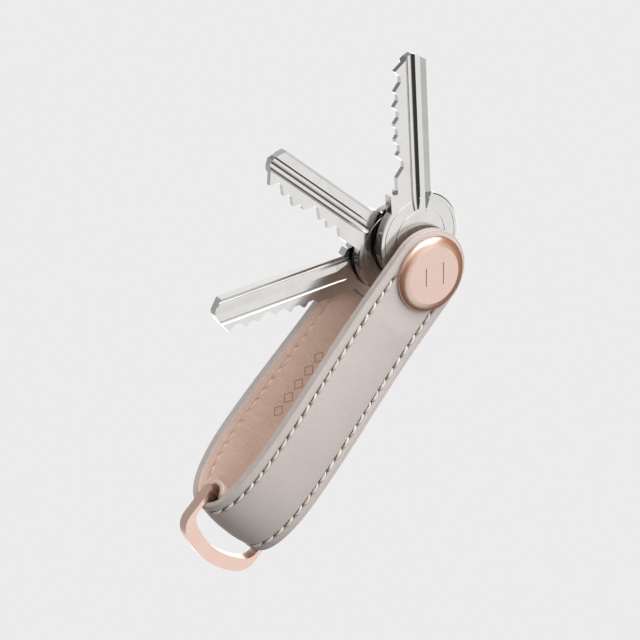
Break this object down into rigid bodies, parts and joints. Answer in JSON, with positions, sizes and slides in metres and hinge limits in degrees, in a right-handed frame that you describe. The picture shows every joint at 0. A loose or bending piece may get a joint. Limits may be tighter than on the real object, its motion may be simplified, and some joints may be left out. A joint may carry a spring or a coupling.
{
  "type": "key organiser",
  "caption": "Pocket key organiser: a folded, stitched leather strap clamped between two discs on a post that keys fan out from, with a D-ring in the bend.",
  "frame": {"origin": "on the post's axis, at the rear disc's outer face", "axes": "+Z along the post towards the front disc, +X from the D-ring to the post, +Y the side that the keys fan out on"},
  "size_m": [0.1149, 0.0597, 0.0194],
  "materials": {
    "outer_leather": "smooth stone-grey leather",
    "lining_leather": "soft blush leather",
    "padding": "closed foam",
    "thread": "waxed cream thread",
    "rose_gold": "satin rose gold plating",
    "rose_gold_ring": "polished rose gold plating",
    "steel": "turned",
    "spacer": "satin",
    "key": "nickel plated"
  },
  "bodies": {
    "strap": {"outer_leather": "outer_leather", "lining_leather": "lining_leather", "front_filler": "padding", "rear_filler": "padding", "front_end_plate": "steel", "rear_end_plate": "steel", "stitch_front_left": "thread", "stitch_front_right": "thread", "stitch_rear_left": "thread", "stitch_rear_right": "thread", "front_disc": "rose_gold", "barrel_post": "steel", "wave_washer": "steel", "spacer_1": "spacer", "spacer_2": "spacer", "spacer_3": "spacer", "spacer_4": "spacer"},
    "washer": {"thrust_washer": "steel"},
    "screw": {"rear_disc": "rose_gold", "clamp_screw": "steel"},
    "key_1": {"key_1": "key"},
    "key_2": {"key_2": "key"},
    "key_3": {"key_3": "key"},
    "d_ring": {"d_ring": "rose_gold_ring"}
  },
  "joints": [
    {"name": "key_1_swing", "type": "hinge", "parent": "strap", "child": "key_1", "pos_m": [0, 0, 0.0129], "axis": [0, 0, 1], "range_deg": [-228, 132]},
    {"name": "key_2_swing", "type": "hinge", "parent": "strap", "child": "key_2", "pos_m": [0, 0, 0.00965], "axis": [0, 0, 1], "range_deg": [-275, 85]},
    {"name": "key_3_swing", "type": "hinge", "parent": "strap", "child": "key_3", "pos_m": [0, 0, 0.0064], "axis": [0, 0, 1], "range_deg": [-319, 40]},
    {"name": "d_ring_swing", "type": "hinge", "parent": "strap", "child": "d_ring", "pos_m": [-0.0677, 0, 0.0112], "axis": [0.0523, 0.9986, 0], "range_deg": [-50, 85]},
    {"name": "screw_travel", "type": "slide", "parent": "strap", "child": "washer", "axis": [0, 0, -1], "range_m": [0, 0.00451]},
    {"name": "screw_turn", "type": "hinge", "parent": "washer", "child": "screw", "pos_m": [0, 0, 0.001], "axis": [0, 0, -1], "range_deg": [0, 3600]}
  ],
  "couplings": [
    {"joint": "screw_travel", "follows": "screw_turn", "m_per_rad": 0.00007162}
  ]
}
